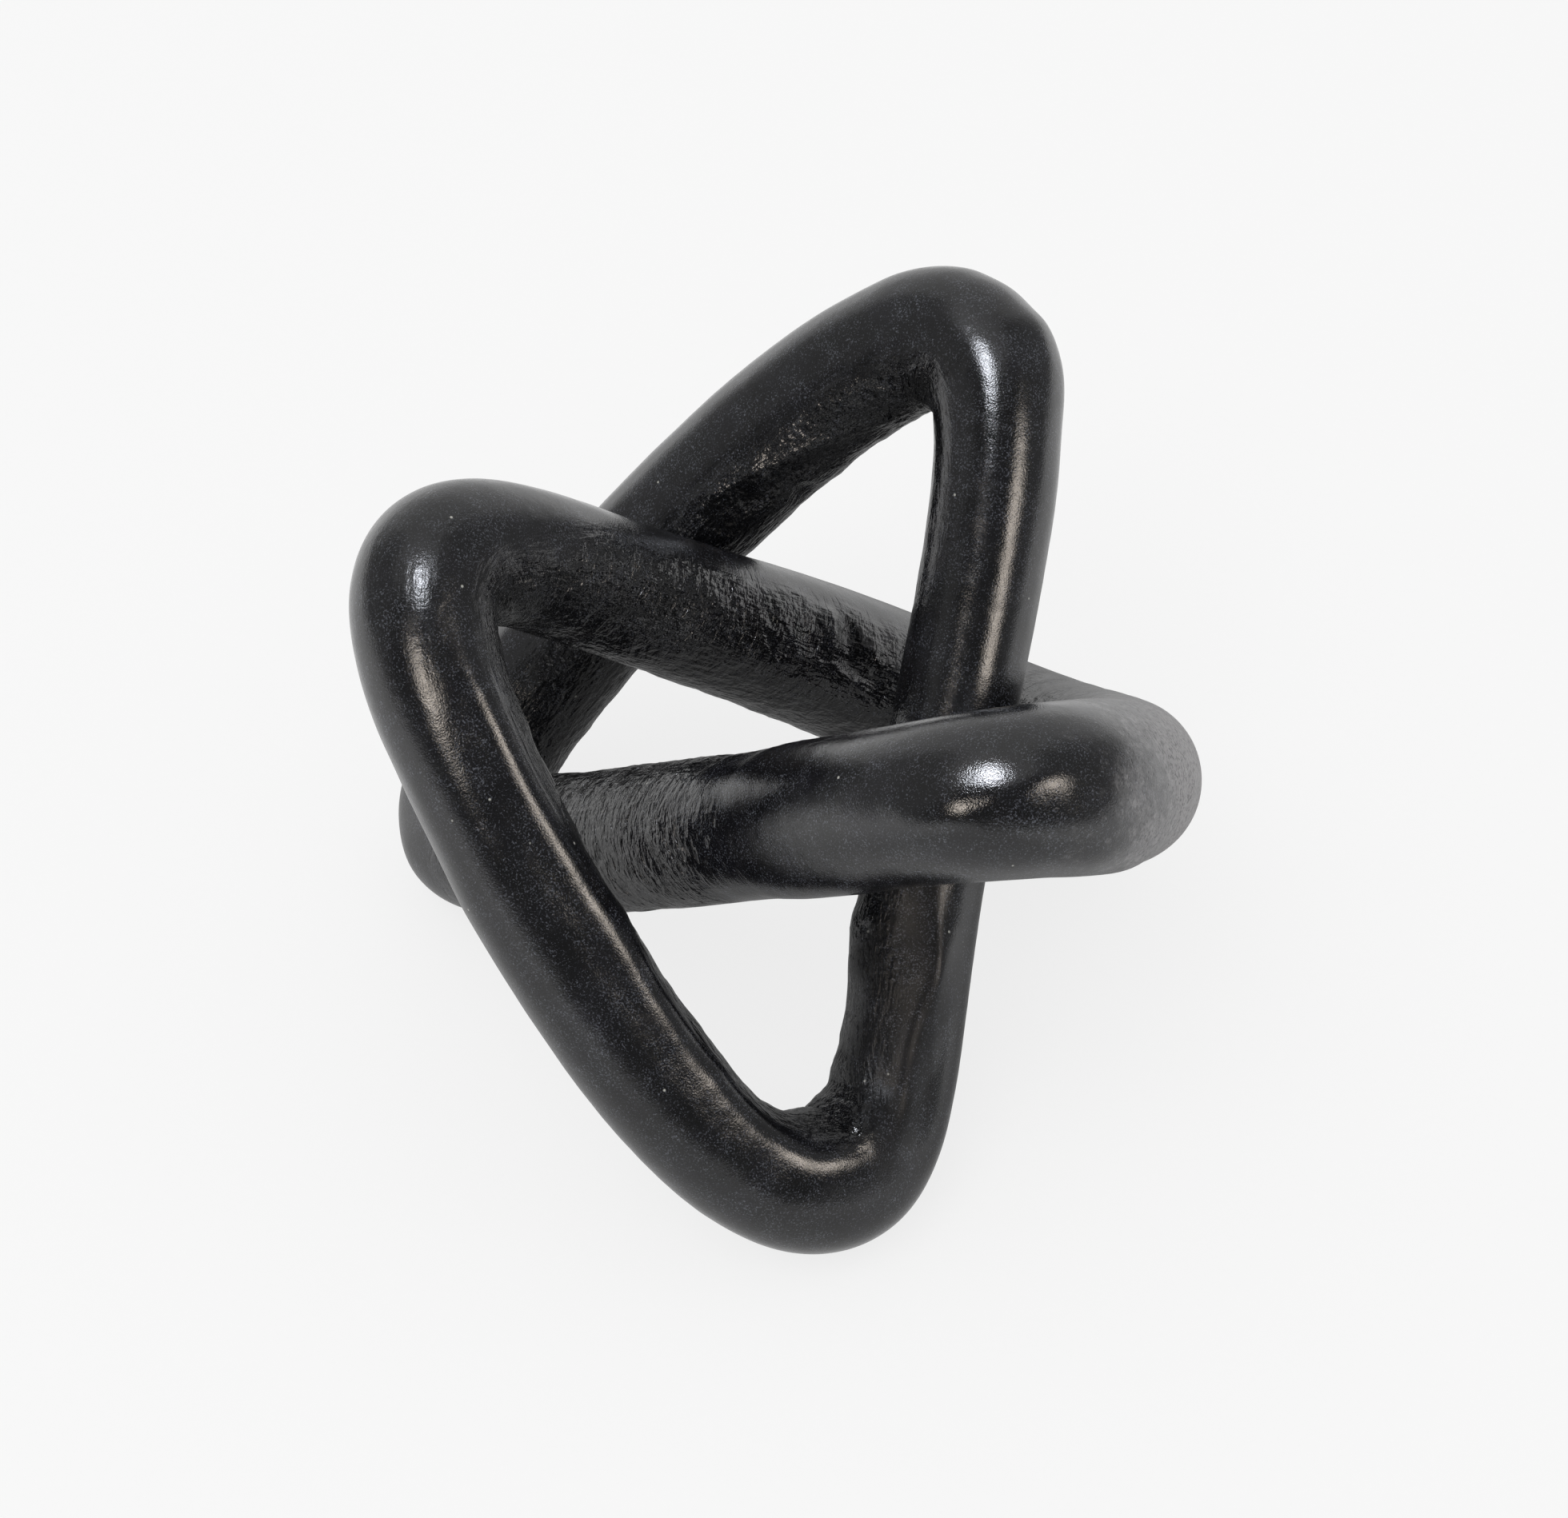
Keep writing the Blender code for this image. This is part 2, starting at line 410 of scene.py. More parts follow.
class Profile(Enum):
    """The cross-section of a mark, from its middle line outwards."""

    ROUND = "round"
    RIDGE = "ridge"


class Mark(NamedTuple):
    """A dent, swell or ridge on a limb.

    place is counted in spans round the rope, and turn in degrees round the limb. length runs along the
    mark and width across it, in mm, lean turns it off the limb's direction, in degrees, and height is in
    mm, less than zero for a dent.
    """

    name: str
    place: float
    turn: float
    length: float
    width: float
    lean: float
    height: float
    profile: Profile = Profile.ROUND


MARKS = (
    Mark("left_shoulder_top", 1.04, 261, 19.5, 3.7, -4.5, 1.55),
    Mark("left_shoulder", 1.58, 252.8, 21.3, 3.7, 0, 1.75),
    Mark("left_shoulder_low", 2.15, 251, 14.8, 3.9, 0, 1.45),
    Mark("front_foot_shoulder", 2.91, 240, 11.3, 4.6, -1.5, 1.8),
    Mark("front_foot_saddle", 2.76, 182.3, 11.6, 17.6, 3.6, 2.77),
    Mark("front_foot_crease", 3.1, 193, 3.3, 9.0, 0, -0.39),
    Mark("middle_low_edge", 3.38, 267.5, 8.9, 2.7, 3.4, 0.62),
    Mark("middle_low_shoulder", 3.76, 282.5, 12.3, 3.8, 13, 1.5),
    Mark("middle_low_flat", 3.53, 294.5, 12.2, 5.2, 3.4, -1.07),
    Mark("left_inner_swell", 1.5, 235, 7, 5, 0, 0.6),
    Mark("left_inner_dip", 2.1, 222, 8, 6, 0, -0.9),
    Mark("left_outer_flat", 1.05, 20, 12, 6, 0, -0.5),
    Mark("middle_inner_dip", 3.68, 195, 7, 6, 0, -1.1),
    Mark("middle_inner_bump", 3.98, 190, 2.5, 5, 0, 0.5),
    Mark("middle_shoulder", 3.85, 292, 14, 1.6, -6, 0.45, Profile.RIDGE),
    Mark("top_back_outer", 5.82, 10, 9, 8, 0, 0.9),
    Mark("top_back_flat", 6.03, 0, 4, 8, 0, -0.7),
    Mark("top_back_crown", 6.3, 320, 8, 8, 0, 0.6),
    Mark("under_ridge", 7.0, 205, 20, 1.3, 14, 0.7, Profile.RIDGE),
    Mark("under_groove", 7.05, 190, 14, 1.8, 10, -0.6),
    Mark("under_step", 7.35, 200, 5, 1.8, 60, 0.6, Profile.RIDGE),
    Mark("under_notch", 7.1, 168, 2.2, 3, 0, -0.7),
    Mark("left_foot_outer", 9.4, 340, 10, 9, 0, 0.8),
    Mark("front_top_dent", 10.72, 262, 8, 6, 0, -0.7),
    Mark("front_low_swell", 11.05, 40, 12, 6, 0, 0.7),
    Mark("front_gouge", 10.52, 345, 4.5, 1.7, 66, -0.5),
    Mark("right_low_swell", 12.42, 45, 9, 6, 0, 1.0),
    Mark("right_top_swell", 11.82, 349, 8.5, 2.4, -20.8, 0.22),
    Mark("right_front_swell", 11.59, 353.5, 4.1, 5.3, -11.8, 0.39),
    Mark("right_front_dip", 12.09, 0.3, 4.0, 3.6, -11.5, -0.37),
    Mark("right_scar", 12.74, 358, 3.6, 1.6, 84, -0.3),
    Mark("back_dent", 16.17, 232, 4.2, 2.6, 62, -1.1),
    Mark("back_dent_lip", 16.27, 236, 3.6, 1.3, 74, 0.9, Profile.RIDGE),
    Mark("back_lip_two", 16.04, 226, 3.0, 1.2, 60, 0.6, Profile.RIDGE),
    Mark("back_crease", 16.05, 213, 7.0, 1.5, 8, -0.9),
    Mark("back_shoulder", 16.6, 196, 26, 2.2, 4, 0.5, Profile.RIDGE),
    Mark("back_hollow", 17.05, 205, 9, 5, 0, -0.6),
)


class Patch(NamedTuple):
    """A place where the tool marks differ: its middle, its half length in spans and half width in degrees.

    It fades out between 1 - soft and 1 + soft of that size.
    """

    name: str
    place: float
    turn: float
    half_length: float
    half_width: float
    amount: float
    soft: float = 0.18


RASPED_PATCHES = (
    Patch("front_limb_start", 10.1, 330, 0.55, 130, 1.0, 0.35),
    Patch("back_limb_side", 16.5, 235, 1.0, 24, 0.45),
    Patch("middle_limb_top", 5.1, 220, 0.75, 50, -0.75),
    Patch("under_limb_face", 6.9, 262, 0.9, 34, -0.8, 0.3),
    Patch("right_corner_end", 12.75, 0, 0.1, 22, 0.9),
    Patch("top_left_corner", 0.3, 300, 0.4, 60, 0.16, 0.5),
    Patch("left_limb_shoulder", 1.9, 264, 1.35, 27, -0.8, 0.3),
)
GOUGED_PATCHES = (
    Patch("front_limb_start", 10.1, 330, 0.55, 130, 1.0, 0.35),
    Patch("back_limb_side", 16.6, 215, 0.9, 45, 0.22, 0.5),
    Patch("top_left_crease", 0.0, 190, 0.3, 50, 1.0),
    Patch("top_back_crease", 6.0, 185, 0.3, 45, 0.8),
    Patch("top_right_crease", 12.0, 185, 0.3, 45, 0.8),
)
DULL_PATCHES = (
    Patch("middle_limb_low", 3.65, 256, 0.62, 46, 1.0, 0.4),
    Patch("top_left_corner", 0.2, 300, 0.5, 60, 0.22, 0.5),
)
# Where the stone is dusted in pale grey, and where a sheen of light from the right is painted in the same
# grey. It fades softly at the edges.
DUST_AND_SHEEN_PATCHES = (
    Patch("right_corner", 12.95, 0, 0.52, 115, 1.0, 0.68),
    Patch("front_limb_start", 10.1, 330, 0.5, 130, 0.06, 0.4),
)


@dataclass
class RopeSkin:
    """The skin of the rope as rings round its middle, fine enough to take the carver's marks."""

    core: SolidCore
    rings_per_span: int = 54
    sides: int = 96
    coarse: int = 2
    ease: float = 4.0 * MM
    cad_ring_step: int = 6
    cad_side_step: int = 4

    def rings(self) -> tuple[np.ndarray, np.ndarray, np.ndarray]:
        """Sets a ring at each place along the rope, square to it, or turned round a corner's hinge.

        Returns:
            The middle of each ring and two directions that span it: outwards and across.
        """
        middles = along_spline(self.core.points, self.rings_per_span)
        steps = (np.roll(middles, -1, axis=0) - np.roll(middles, 1, axis=0)) / 2
        headings = unit(steps)
        per_limb = SPANS_PER_LIMB * self.rings_per_span
        half = per_limb // 2
        for index, (hinge, line) in enumerate(zip(*self.core.hinges())):
            near = np.arange(-half, half + 1) + index * per_limb
            apart = np.linalg.norm(middles[near % len(middles)] - hinge, axis=1)
            first = apart[:half].argmin()
            last = half + apart[half:].argmin()
            turning = near[first : last + 1] % len(middles)
            headings[turning] = unit(np.cross(line, middles[turning] - hinge))
        headings = self.eased(headings, np.linalg.norm(steps, axis=1))
        outwards = middles - self.core.points.mean(axis=0)
        outwards = unit(outwards - headings * (outwards * headings).sum(axis=1, keepdims=True))
        return middles, outwards, np.cross(headings, outwards)

    def eased(self, headings: np.ndarray, lengths: np.ndarray) -> np.ndarray:
        """Averages the headings with their neighbours along the rope.

        Args:
            headings: which way the rope runs at each ring.
            lengths: how much of the rope each ring stands for.

        Returns:
            The smoother headings.
        """
        places = np.cumsum(lengths)
        apart = wrapped(places[:, None] - places[None], places[-1])
        return unit(np.exp(-0.5 * (apart / self.ease) ** 2) * lengths @ headings)

    @staticmethod
    def between(values: np.ndarray, axis: int) -> np.ndarray:
        """Doubles a closed row of values with a smooth curve through them.

        Args:
            values: the values.
            axis: the axis that the row runs along.

        Returns:
            The values, with a new one after each.
        """
        before, after, far = (np.roll(values, shift, axis=axis) for shift in (1, -1, -2))
        middle = (9 * (values + after) - before - far) / 16
        shape = list(values.shape)
        shape[axis] *= 2
        return np.stack((values, middle), axis=axis + 1).reshape(shape)

    def build(self) -> np.ndarray:
        """Builds the skin, and keeps the middles of its rings.

        Returns:
            The points of the skin, ring by ring.
        """
        middles, outwards, across = self.rings()
        self.middles = middles
        angles = np.arange(self.sides)[None, :, None] / self.sides * math.tau
        directions = np.cos(angles) * outwards[:, None] + np.sin(angles) * across[:, None]
        own = np.arange(len(middles)) * len(self.core.centres) // len(middles)
        corners = (own + self.core.per_limb // 2) // self.core.per_limb * self.core.per_limb
        some = slice(None, None, self.coarse)
        reach = self.core.march(middles[some], directions[some, some], corners[some])
        reach = self.between(self.between(reach, 0), 1)
        return middles[:, None] + directions * reach[..., None]

    def shift_to_frame(self, points: np.ndarray, ground_off: float, lift: float) -> np.ndarray:
        """Finds the shift that puts the stone where the part's source puts it.

        Args:
            points: the skin as built.
            ground_off: how much is ground off the highest foot.
            lift: how high the ground feet stand above the floor.

        Returns:
            The shift along X, Y and Z.
        """
        undersides = self.core.centres[:, 2] - self.core.radii
        half = self.core.per_limb // 2
        feet = [
            undersides[np.arange(ball - half, ball + half) % len(undersides)].min()
            for corner, ball in zip(CORNERS, self.core.corners)
            if corner.name.startswith("foot")
        ]
        cad = points[:: self.cad_ring_step, :: self.cad_side_step]
        low, high = cad.min(axis=(0, 1)), cad.max(axis=(0, 1))
        return -np.array(((low[0] + high[0]) / 2, (low[1] + high[1]) / 2, max(feet) + ground_off - lift))


@dataclass
class RopeGrid:
    """Where each point of the skin lies along the rope and round it."""

    middles: np.ndarray
    sides: int
    girth_radius: float = 11.5 * MM
    ridge_rounding: float = 0.3
    edge_wobble: float = 0.1
    wobble_waves: int = 14
    wobble_rounds: tuple[int, int] = (12, 70)
    wobble_ways: tuple[int, int] = (-5, 6)
    wobble_seed: int = 7
    inner_turn: float = 180.0
    inner_edge: tuple[float, float] = (45.0, 92.0)
    inner_wobble: float = 5.0

    def __post_init__(self) -> None:
        """Measures the rope's length up to each ring."""
        rings = len(self.middles)
        self.place = np.arange(rings)[:, None] * SPANS / rings
        self.turn = np.arange(self.sides)[None, :] * 360.0 / self.sides
        steps = np.linalg.norm(np.roll(self.middles, -1, axis=0) - self.middles, axis=1)
        self.length = steps.sum()
        self.along = np.concatenate(([0.0], np.cumsum(steps)[:-1]))
        self.angle = math.tau * (self.along / self.length)[:, None] + np.zeros_like(self.turn)

    def relief(self, marks: tuple[Mark, ...]) -> np.ndarray:
        """Adds up the heights of the marks.

        Args:
            marks: the carver's marks.

        Returns:
            The height at each point, in metres.
        """
        height = np.zeros((len(self.middles), self.sides))
        for mark in marks:
            start = np.interp(mark.place, self.place[:, 0], self.along)
            forwards = wrapped(self.along - start, self.length)[:, None]
            sideways = np.radians(wrapped(self.turn - mark.turn, 360.0)) * self.girth_radius
            lean = math.radians(mark.lean)
            run = (forwards * math.cos(lean) + sideways * math.sin(lean)) / (mark.length * MM)
            across = (sideways * math.cos(lean) - forwards * math.sin(lean)) / (mark.width * MM)
            if mark.profile is Profile.RIDGE:
                section = np.exp(self.ridge_rounding - np.sqrt(across**2 + self.ridge_rounding**2))
            else:
                section = np.exp(-(across**2))
            # The fourth power keeps a mark even along most of its length.
            height += mark.height * MM * section * np.exp(-(run**4))
        return height

    def share(self, patches: tuple[Patch, ...]) -> np.ndarray:
        """Adds up how much each point lies in the patches.

        Args:
            patches: the patches of one kind of finish.

        Returns:
            The share at each point, which may pass 0 or 1 where patches overlap.
        """
        total = np.zeros((len(self.middles), self.sides))
        for patch in patches:
            forwards = wrapped(self.place - patch.place, float(SPANS)) / patch.half_length
            sideways = wrapped(self.turn - patch.turn, 360.0) / patch.half_width
            off = np.hypot(forwards, sideways) + self.wobble(self.edge_wobble)
            total += patch.amount * (1 - smoothstep(1 - patch.soft, 1 + patch.soft, off))
        return total

    def wobble(self, size: float) -> np.ndarray:
        """Makes an uneven edge for the patches, from a few waves that close round the rope.

        Args:
            size: how far the edge strays, on average.

        Returns:
            What is added at each point.
        """
        draw = np.random.default_rng(self.wobble_seed)
        turn = np.radians(self.turn)
        angle = math.tau * self.place / SPANS
        total = np.zeros((len(self.middles), self.sides))
        for _ in range(self.wobble_waves):
            rounds, ways = draw.integers(*self.wobble_rounds), draw.integers(*self.wobble_ways)
            total += np.sin(angle * rounds + turn * ways + draw.uniform(0, math.tau))
        return size * total / math.sqrt(self.wobble_waves / 2)

    def inward(self) -> np.ndarray:
        """How much each point faces the knot's inside, where only a rasp could work."""
        off = abs(wrapped(self.turn - self.inner_turn, 360.0)) + self.inner_wobble * self.wobble(1.0)
        return 1 - smoothstep(*self.inner_edge, off)

    def closed_places(self, twists: int = 0) -> np.ndarray:
        """Places on the skin as three numbers that close up, so that a pattern has no seam.

        Args:
            twists: how many times the pattern's lines wind round the limb on their way round the rope.

        Returns:
            The numbers as a vector for each point.
        """
        turn = np.radians(self.turn) + twists * self.angle
        round_rope = self.length / math.tau * np.cos(self.angle)
        vector = (self.girth_radius * np.cos(turn), self.girth_radius * np.sin(turn), round_rope)
        return np.stack(vector, axis=2).reshape(-1, 3)

    def closed_last(self) -> np.ndarray:
        """The fourth number that goes with the closed places."""
        return (self.length / math.tau * np.sin(self.angle)).ravel()


def skin_normals(points: np.ndarray, middles: np.ndarray) -> np.ndarray:
    """Finds the outward normals of a skin made of rings.

    Args:
        points: the skin, ring by ring.
        middles: the middle of each ring.

    Returns:
        The normal at each point.
    """
    along = np.roll(points, -1, axis=0) - np.roll(points, 1, axis=0)
    around = np.roll(points, -1, axis=1) - np.roll(points, 1, axis=1)
    normals = unit(np.cross(along, around))
    outward = ((points - middles[:, None]) * normals).sum(axis=2, keepdims=True)
    return normals * np.sign(outward)


# Finishes


class Grain(NamedTuple):
    """A noise in the stone: how far apart its grains are, in mm, its detail and how rough that is."""

    apart: float
    detail: float
    roughness: float = 0.5

    def at(self, where: dict[str, Any]) -> dict[str, Any]:
        """Settings for this noise, read at the places that are given."""
        return {**where, "Scale": 1 / (self.apart * MM), "Detail": self.detail, "Roughness": self.roughness}


@dataclass(frozen=True)
class BlackMarble:
    """Black marble, honed and waxed where a hand reaches it, and left from the rasp where it doesn't.

    Honing and wax leave a deep satin shine with soft-edged lights, broken by grains that stand a few
    hundredths of a millimetre proud. Pale crystals a few tenths of a millimetre wide show in it as stars.
    Where the rasp was the last tool, or the wax didn't take, it looks duller. Heights are in mm.
    """

    name: str = "honed_waxed_black_marble"
    body: str = "#0b0b0d"
    cloud: str = "#141418"
    bruised: str = "#0c0c0d"
    # Pale grey of the dusting, lightened further to stand for a painted sheen of light.
    dust_and_sheen: str = "#959394"
    crystal: str = "#6d7079"
    white_grain: str = "#b9b9b2"
    ior: float = 1.5
    honed_roughness: tuple[float, float] = (0.09, 0.19)
    rasped_roughness: float = 0.14
    dull_roughness: float = 0.42
    dust_and_sheen_roughness: float = 0.55
    waxed_gloss: float = 0.5
    dull_gloss: float = 0.24
    grain_height: float = 0.035
    peel_height: float = 0.05
    scar_height: float = 0.32
    streak_height: float = 0.5
    gouge_height: float = 0.55
    slot_height: float = 0.7
    pit_height: float = 0.1
    wax: Grain = Grain(3, 5.0)
    clouds: Grain = Grain(8, 5.0, 0.65)
    crystals: Grain = Grain(0.3, 3.0, 0.7)
    veins: Grain = Grain(5, 4.0, 0.7)
    bruises: Grain = Grain(2, 6.0, 0.7)
    proud: Grain = Grain(0.7, 4.0, 0.7)
    grain: Grain = Grain(0.28, 2.0, 0.6)
    peel: Grain = Grain(2.4, 1.0)
    scars: Grain = Grain(1.3, 2.5)
    streaks: Grain = Grain(0.9, 2.0)
    gouges: Grain = Grain(0.8, 2.5)
    slots: Grain = Grain(1.2, 2.0)
    white_apart: float = 7 * MM
    pits_apart: float = 0.9 * MM
    streak_stretch: tuple[float, float, float] = (1, 1, 0.25)
    gouge_stretch: tuple[float, float, float] = (0.33, 0.33, 1)
    slot_stretch: tuple[float, float, float] = (0.3, 0.3, 1)

    def stretched(
        self, tree: bpy.types.NodeTree, name: str, stretch: tuple[float, float, float]
    ) -> dict[str, Any]:
        """Reads closed places on the skin for a noise whose grain is drawn out.

        Args:
            tree: the material's nodes.
            name: the attribute that holds the first three numbers.
            stretch: what those numbers are multiplied by; less than 1 draws the grain out.

        Returns:
            The vector and the fourth number, by the noise's input names.
        """
        first = add_node(tree, "ShaderNodeAttribute", attribute_name=name).outputs["Vector"]
        last = add_node(tree, "ShaderNodeAttribute", attribute_name="rope_last").outputs["Fac"]
        return {
            "Vector": add_node(tree, "ShaderNodeVectorMath", {0: first, 1: stretch}, operation="MULTIPLY"),
            "W": add_node(tree, "ShaderNodeMath", {0: last, 1: stretch[2]}, operation="MULTIPLY"),
        }

    def colour(self, tree: bpy.types.NodeTree, at: dict[str, Any], rasped: Any, dust_and_sheen: Any) -> Any:
        """Mixes the stone's colour: clouds, pale crystals, white grains, bruises, and dusting with painted
        sheen.

        Args:
            tree: the material's nodes.
            at: the places on the stone, by a noise's input name.
            rasped: the output that says where the rasp was the last tool.
            dust_and_sheen: the output that says where the stone is dusted, with a painted sheen of light.

        Returns:
            The output with the colour.
        """
        clouds, crystals, veins, bruises, proud = (
            add_node(tree, "ShaderNodeTexNoise", noise.at(at))
            for noise in (self.clouds, self.crystals, self.veins, self.bruises, self.proud)
        )
        cloudy = add_node(tree, "ShaderNodeMapRange", {"Value": clouds, "From Min": 0.42, "From Max": 0.66})
        # Crystals show as pale flecks, which crowd together in veins.
        rare = add_node(
            tree,
            "ShaderNodeMapRange",
            {"Value": veins, "From Min": 0.35, "From Max": 0.65, "To Min": 0.6, "To Max": 0.505},
        )
        above = add_node(tree, "ShaderNodeMath", {0: crystals, 1: rare}, operation="SUBTRACT")
        flecks = add_node(tree, "ShaderNodeMath", {0: above, 1: 4.5}, operation="MULTIPLY", use_clamp=True)
        # Now and then, some 20 mm apart on the skin, a single white grain.
        grains = add_node(tree, "ShaderNodeTexVoronoi", {**at, "Scale": 1 / self.white_apart})
        white = add_node(tree, "ShaderNodeMapRange", {"Value": grains, "From Min": 0.04, "From Max": 0.02})
        # The rasp's bruises come in patches.
        patchy = add_node(tree, "ShaderNodeMapRange", {"Value": bruises, "From Min": 0.35, "From Max": 0.68})
        bruise = add_node(tree, "ShaderNodeMath", {0: rasped, 1: patchy}, operation="MULTIPLY")
        # The dusting and its painted sheen thin out unevenly, and skip the proud grains, which show dark in
        # it.
        held = add_node(
            tree, "ShaderNodeMapRange", {"Value": proud, "From Min": 0.36, "From Max": 0.52, "To Min": 0.25}
        )
        thinning = add_node(tree, "ShaderNodeMath", {0: patchy, 1: 2.0, 2: 0.5}, operation="MULTIPLY_ADD")
        thinned = add_node(tree, "ShaderNodeMath", {0: dust_and_sheen, 1: thinning}, operation="POWER")
        dust_and_sheen_share = add_node(tree, "ShaderNodeMath", {0: thinned, 1: held}, operation="MULTIPLY")
        colour = linear(self.body)
        for share, over in (
            (cloudy, self.cloud),
            (flecks, self.crystal),
            (white, self.white_grain),
            (bruise, self.bruised),
            (dust_and_sheen_share, self.dust_and_sheen),
        ):
            links = {"Factor": share, "A": colour, "B": linear(over)}
            colour = add_node(tree, "ShaderNodeMix", links, data_type="RGBA")
        return colour.outputs[2]

    def height(self, tree: bpy.types.NodeTree, at: dict[str, Any], rasped: Any, dust_and_sheen: Any) -> Any:
        """Adds up the height of the fine marks: grains, scars, streaks along the limb, gouges and pits.

        Args:
            tree: the material's nodes.
            at: the places on the stone, by a noise's input name.
            rasped: the output that says where the rasp was the last tool.
            dust_and_sheen: the output that says where the stone is dusted, with a painted sheen of light.

        Returns:
            The node with the height, in mm.
        """
        gouged = add_node(tree, "ShaderNodeAttribute", attribute_name="gouged").outputs["Fac"]
        grain, peel, scars = (
            add_node(tree, "ShaderNodeTexNoise", noise.at(at))
            for noise in (self.grain, self.peel, self.scars)
        )
        # Streaks are four times as long as they are wide, along the limb. Gouges and slots run round it for
        # about three times their width.
        streaks, gouges, slots = (
            add_node(
                tree,
                "ShaderNodeTexNoise",
                noise.at(self.stretched(tree, name, stretch)),
                noise_dimensions="4D",
            )
            for noise, name, stretch in (
                (self.streaks, "rope", self.streak_stretch),
                (self.gouges, "twist", self.gouge_stretch),
                (self.slots, "twist", self.slot_stretch),
            )
        )
        slot = add_node(
            tree,
            "ShaderNodeMapRange",
            {"Value": slots, "From Min": 0.56, "From Max": 0.68, "To Min": 0.0, "To Max": -1.0},
            interpolation_type="SMOOTHSTEP",
        )
        pits = add_node(tree, "ShaderNodeTexVoronoi", {**at, "Scale": 1 / self.pits_apart})
        pit = add_node(
            tree,
            "ShaderNodeMapRange",
            {"Value": pits, "From Min": 0.1, "From Max": 0.3, "To Min": -1.0, "To Max": 0.0},
        )
        total = add_node(tree, "ShaderNodeMath", {0: grain, 1: self.grain_height}, operation="MULTIPLY")
        links = {0: peel, 1: self.peel_height, 2: total}
        total = add_node(tree, "ShaderNodeMath", links, operation="MULTIPLY_ADD")
        for layer, size, share in (
            (scars, self.scar_height, rasped),
            (streaks, self.streak_height, rasped),
            (gouges, self.gouge_height, gouged),
            (slot, self.slot_height, gouged),
            (pit, self.pit_height, dust_and_sheen),
        ):
            deep = add_node(tree, "ShaderNodeMath", {0: share, 1: size}, operation="MULTIPLY")
            total = add_node(tree, "ShaderNodeMath", {0: layer, 1: deep, 2: total}, operation="MULTIPLY_ADD")
        return total

    def build(self) -> bpy.types.Material:
        """Makes the material.

        Returns:
            A node material reading its attributes: rasped, gouged, dull, dusty (painted sheen too) and
                places.
        """
        made = bpy.data.materials.new(self.name)
        made.use_nodes = True
        tree = made.node_tree
        shader = tree.nodes["Principled BSDF"]
        at = {"Vector": add_node(tree, "ShaderNodeTexCoord").outputs["Object"]}
        rasped, dull, dust_and_sheen = (
            add_node(tree, "ShaderNodeAttribute", attribute_name=name).outputs["Fac"]
            for name in ("rasped", "dull", "dust_and_sheen")
        )
        # Roughness follows the tool, and the wax lies a little unevenly.
        wax = add_node(tree, "ShaderNodeTexNoise", self.wax.at(at))
        low, high = self.honed_roughness
        rough = add_node(
            tree,
            "ShaderNodeMapRange",
            {"Value": wax, "From Min": 0.3, "From Max": 0.7, "To Min": low, "To Max": high},
        )
        for share, size in (
            (rasped, self.rasped_roughness),
            (dull, self.dull_roughness),
            (dust_and_sheen, self.dust_and_sheen_roughness),
        ):
            links = {"Factor": share, "A": rough, "B": size}
            rough = add_node(tree, "ShaderNodeMix", links, data_type="FLOAT")
        # Where the wax didn't take, the stone also mirrors less.
        links = {"Factor": dull, "A": self.waxed_gloss, "B": self.dull_gloss}
        gloss = add_node(tree, "ShaderNodeMix", links, data_type="FLOAT")
        height = self.height(tree, at, rasped, dust_and_sheen)
        bump = add_node(tree, "ShaderNodeBump", {"Height": height, "Distance": 1 * MM, "Strength": 1.0})
        links = {
            "Base Color": self.colour(tree, at, rasped, dust_and_sheen),
            "Roughness": rough.outputs[0],
            "Specular IOR Level": gloss.outputs[0],
            "Normal": bump.outputs["Normal"],
        }
        feed(tree, shader, links)
        shader.inputs["IOR"].default_value = self.ior
        made.diffuse_color = linear(self.body)
        return made


@dataclass(frozen=True)
class PressedFelt:
    """Black wool felt, pressed into a sheet and punched into dots: matt, with a fine tangle of fibres."""

    name: str = "pressed_black_wool_felt"
    dark: str = "#17171a"
    light: str = "#2c2c30"
    fibre_size: float = 0.15 * MM
    fibre_height: float = 0.08 * MM
    roughness: tuple[float, float] = (0.85, 1.0)
    sheen: float = 0.3

    def build(self) -> bpy.types.Material:
        """Makes the material.

        Returns:
            A node material for the felt dots.
        """
        made = bpy.data.materials.new(self.name)
        made.use_nodes = True
        tree = made.node_tree
        shader = tree.nodes["Principled BSDF"]
        place = add_node(tree, "ShaderNodeTexCoord").outputs["Object"]
        # Wool fibres are 0.03 mm thick; they are drawn thicker so that they show.
        fibres = add_node(
            tree,
            "ShaderNodeTexNoise",
            {"Vector": place, "Scale": 1 / self.fibre_size, "Detail": 4.0, "Distortion": 2.0},
        )
        tint = add_node(
            tree,
            "ShaderNodeMix",
            {"Factor": fibres, "A": linear(self.dark), "B": linear(self.light)},
            data_type="RGBA",
        )
        low, high = self.roughness
        rough = add_node(tree, "ShaderNodeMapRange", {"Value": fibres, "To Min": low, "To Max": high})
        bump = add_node(tree, "ShaderNodeBump", {"Height": fibres, "Distance": self.fibre_height})
        links = {
            "Base Color": tint.outputs[2],
            "Roughness": rough.outputs["Result"],
            "Normal": bump.outputs["Normal"],
        }
        feed(tree, shader, links)
        shader.inputs["Sheen Weight"].default_value = self.sheen
        made.diffuse_color = linear(self.dark)
        return made


